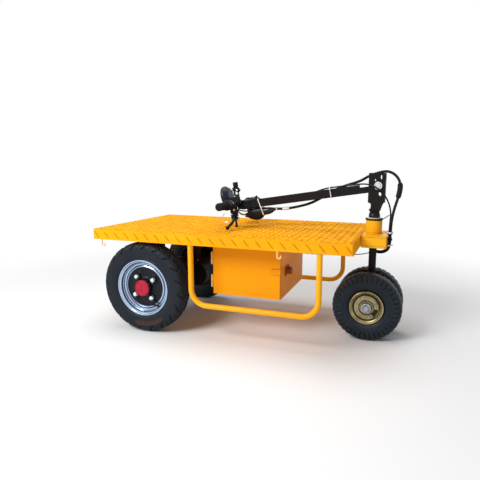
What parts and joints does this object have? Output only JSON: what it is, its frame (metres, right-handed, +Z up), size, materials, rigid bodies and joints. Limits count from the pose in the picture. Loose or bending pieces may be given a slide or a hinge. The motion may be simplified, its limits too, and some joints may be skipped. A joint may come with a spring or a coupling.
{
  "type": "electric platform cart",
  "caption": "Flat-deck electric cart with a drive axle, a battery box under the deck and close-set steered front wheels on a folding tow arm.",
  "frame": {"origin": "on the ground, under the middle of the cart's bounding box", "axes": "+X forwards to the steered wheels, +Y to the left, +Z up"},
  "size_m": [1.446, 0.7, 0.7878],
  "materials": {
    "yellow_paint": "gloss",
    "black_paint": "satin",
    "zinc": "satin",
    "silver_paint": "satin",
    "gold_zinc": "satin",
    "red_paint": "satin",
    "tyre": "matte",
    "black_plastic": "matte",
    "rubber": "matte"
  },
  "bodies": {
    "chassis": {"deck_plate": "yellow_paint", "frame_cross_members": "yellow_paint", "frame_rails": "yellow_paint", "head_box": "yellow_paint", "head_tube": "yellow_paint", "head_bearings": "zinc", "side_guards": "yellow_paint", "rope_hooks": "zinc", "battery_box": "yellow_paint", "batteries": "black_plastic", "hinge_pins": "zinc", "lock_body": "zinc", "motor_controller": "black_plastic", "axle_housing": "black_paint", "drive_motor": "black_paint", "axle_brackets": "yellow_paint", "brake_backplates": "black_paint", "cable_clips": "rubber", "bundle_cable": "rubber", "brake_wire": "rubber"},
    "battery_door": {"battery_door": "yellow_paint", "door_hinges": "zinc", "door_strap": "yellow_paint"},
    "rear_wheel_right": {"rear_tyre_right": "tyre", "rear_rim_right": "silver_paint", "rear_wheel_disc_right": "black_paint", "rear_hub_right": "black_paint", "hub_cap_right": "red_paint"},
    "rear_wheel_left": {"rear_tyre_left": "tyre", "rear_rim_left": "silver_paint", "rear_wheel_disc_left": "black_paint", "rear_hub_left": "black_paint", "hub_cap_left": "red_paint"},
    "steering": {"steering_post": "black_paint", "steering_yoke": "black_paint", "pivot_bolt": "zinc", "front_axle": "zinc", "pivot_cable": "rubber", "loop_cable": "rubber", "cable_sleeve": "rubber", "brake_cable_pivot": "rubber", "brake_cable_loop": "rubber"},
    "front_wheels": {"front_tyres": "tyre", "front_rims": "gold_zinc", "front_hubs": "zinc"},
    "tow_arm": {"tow_arm": "black_paint", "handlebar": "black_paint", "grips": "rubber", "display_pod": "black_plastic", "brake_levers": "black_plastic", "key_switch": "black_plastic", "cable_boots": "rubber", "arm_cable": "rubber", "brake_cable_arm": "rubber", "lever_cable": "rubber", "pod_leads": "rubber"}
  },
  "joints": [
    {"name": "door_hinge", "type": "hinge", "parent": "chassis", "child": "battery_door", "pos_m": [-0.155, -0.217, 0.31], "axis": [0, 0, -1], "range_deg": [0, 95]},
    {"name": "rear_wheel_right_spin", "type": "hinge", "parent": "chassis", "child": "rear_wheel_right", "pos_m": [-0.469, -0.2905, 0.22], "axis": [0, 1, 0], "continuous": true},
    {"name": "rear_wheel_left_spin", "type": "hinge", "parent": "chassis", "child": "rear_wheel_left", "pos_m": [-0.469, 0.2905, 0.22], "axis": [0, 1, 0], "continuous": true},
    {"name": "steering_turn", "type": "hinge", "parent": "chassis", "child": "steering", "pos_m": [0.573, 0, 0.56], "axis": [0, 0, 1], "range_deg": [-45, 45], "deforming": ["loop_cable", "cable_sleeve", "brake_cable_loop"]},
    {"name": "front_wheels_spin", "type": "hinge", "parent": "steering", "child": "front_wheels", "pos_m": [0.563, 0, 0.16], "axis": [0, 1, 0], "continuous": true},
    {"name": "arm_pivot", "type": "hinge", "parent": "steering", "child": "tow_arm", "pos_m": [0.5855, 0, 0.716], "axis": [0, 1, 0], "range_deg": [0, 99], "deforming": ["pivot_cable", "brake_cable_pivot"]}
  ]
}
